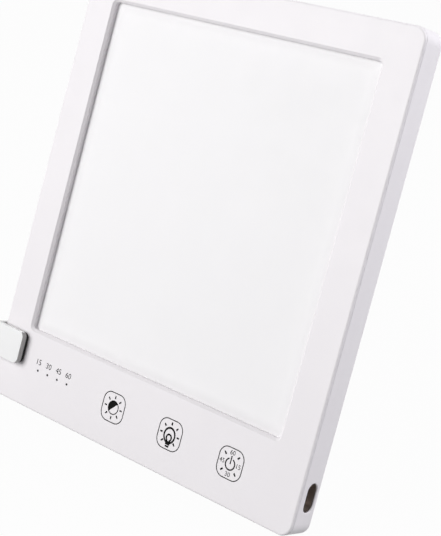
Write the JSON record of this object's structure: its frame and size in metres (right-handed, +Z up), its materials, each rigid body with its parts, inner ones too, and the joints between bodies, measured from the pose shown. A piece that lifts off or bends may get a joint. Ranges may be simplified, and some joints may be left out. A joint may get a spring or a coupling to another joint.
{
  "type": "light therapy lamp",
  "caption": "Flat light therapy panel with touch marks, leaning back on its lower edge and propped by a swing arm that a claw holds at its left edge.",
  "frame": {"origin": "on the surface that the lamp stands on, at the middle of the grip strip under the panel", "axes": "+X to the panel's right as a user faces it, the lit face looks to -Y and leans back, +Z up"},
  "size_m": [0.1878, 0.1335, 0.1985],
  "materials": {
    "case_white": "fine satin moulded white",
    "diffuser_opal": "opal acrylic, fine matt face",
    "film_clear": "clear ribbed film",
    "acrylic_clear": "polished clear acrylic",
    "film_white": "white mirror film",
    "tray_aluminium": "mill-finish folded sheet",
    "foam_grey": "open-cell foam",
    "board_white": "white solder mask",
    "led_cream": "phosphor-filled resin",
    "board_green": "green solder mask",
    "chip_black": "moulded black",
    "coil_grey": "ferrite grey",
    "can_aluminium": "drawn can",
    "nylon_white": "natural nylon",
    "lead_white": "flat flexible lead",
    "spring_steel": "drawn wire",
    "pipe_smoke": "dark smoked acrylic",
    "port_steel": "drawn tinned shell",
    "screw_steel": "nickel-plated",
    "grip_rubber": "matt silicone",
    "stand_white": "fine powder coat",
    "claw_rubber": "matt black",
    "pin_steel": "turned, nickel-plated",
    "washer_nylon": "natural nylon"
  },
  "bodies": {
    "panel": {"front_bezel": "case_white", "back_cover": "case_white", "diffuser_sheet": "diffuser_opal", "prism_film": "film_clear", "light_guide_plate": "acrylic_clear", "reflector_sheet": "film_white", "backlight_tray": "tray_aluminium", "foam_pads": "foam_grey", "led_strip_left": "board_white", "led_strip_right": "board_white", "led_chips_left": "led_cream", "led_chips_right": "led_cream", "control_board": "board_green", "driver_chip": "chip_black", "power_coil": "coil_grey", "power_capacitor": "can_aluminium", "strip_plugs": "nylon_white", "strip_leads": "lead_white", "touch_spring_brightness": "spring_steel", "touch_spring_light": "spring_steel", "touch_spring_power": "spring_steel", "timer_leds": "led_cream", "timer_light_pipe": "pipe_smoke", "usb_shell": "port_steel", "usb_tongue": "chip_black", "port_collar": "port_steel", "case_screws": "screw_steel", "board_screws": "screw_steel", "grip_strip": "grip_rubber", "claw_bracket": "stand_white", "claw_liner": "claw_rubber", "bracket_screws": "screw_steel", "arm_pin": "pin_steel", "arm_friction_washers": "washer_nylon", "arm_spring_washer": "pin_steel", "arm_nut": "pin_steel"},
    "arm": {"swing_arm": "stand_white"},
    "foot": {"foot_plate": "stand_white", "foot_pads": "grip_rubber", "foot_pin": "pin_steel", "foot_friction_washers": "washer_nylon", "foot_spring_washer": "pin_steel", "foot_nut": "pin_steel"}
  },
  "joints": [
    {"name": "arm_hinge", "type": "hinge", "parent": "panel", "child": "arm", "pos_m": [-0.049, 0.02245, 0.02037], "axis": [1, 0, 0], "range_deg": [-25, 75]},
    {"name": "foot_hinge", "type": "hinge", "parent": "arm", "child": "foot", "pos_m": [-0.049, 0.11368, 0.0085], "axis": [1, 0, 0], "range_deg": [-10, 45]}
  ]
}
